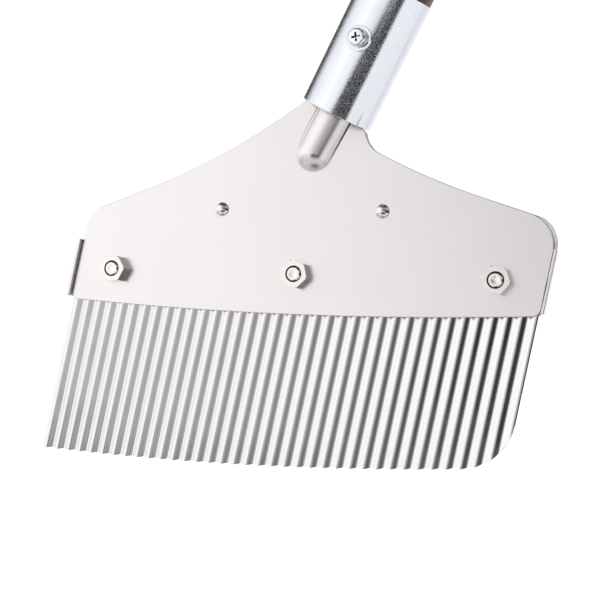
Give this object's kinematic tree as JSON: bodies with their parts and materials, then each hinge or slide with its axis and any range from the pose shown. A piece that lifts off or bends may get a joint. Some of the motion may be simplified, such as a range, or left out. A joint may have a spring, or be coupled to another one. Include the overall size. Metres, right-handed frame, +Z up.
{
  "type": "algae scraper",
  "caption": "Long-handled pond scraper: a corrugated steel blade clamped between two pressed steel plates on a tubular ferrule and a round wooden handle.",
  "frame": {"origin": "on the handle's axis, where the handle leaves the ferrule", "axes": "+X to the right along the line of the clamp bolts, +Z up in the plane of the head plates, -Y out of the front"},
  "size_m": [0.5417, 0.1387, 0.9445],
  "materials": {
    "plate_steel": "fine satin stainless sheet",
    "blade_steel": "bright rolled stainless sheet, corrugated",
    "bolt_steel": "bright stainless steel",
    "nut_steel": "bright stainless steel",
    "rivet_steel": "bright stainless steel",
    "ferrule_zinc": "bright zinc plated steel tube",
    "screw_zinc": "bright zinc plated steel",
    "washer_zinc": "bright zinc plated steel",
    "handle_wood": "dark brown stained and varnished hardwood"
  },
  "bodies": {
    "root": {"front_plate": "plate_steel", "back_plate": "plate_steel", "scraper_blade": "blade_steel", "clamp_bolt_left": "bolt_steel", "clamp_bolt_centre": "bolt_steel", "clamp_bolt_right": "bolt_steel", "clamp_nut_left": "nut_steel", "clamp_nut_centre": "nut_steel", "clamp_nut_right": "nut_steel", "rivet_left": "rivet_steel", "rivet_right": "rivet_steel", "rivet_spacer_left": "rivet_steel", "rivet_spacer_right": "rivet_steel", "ferrule": "ferrule_zinc", "handle": "handle_wood", "ferrule_screw": "screw_zinc", "ferrule_flat_washer": "washer_zinc", "ferrule_spring_washer": "screw_zinc", "ferrule_rear_washer": "washer_zinc", "ferrule_nut": "screw_zinc"}
  },
  "joints": []
}
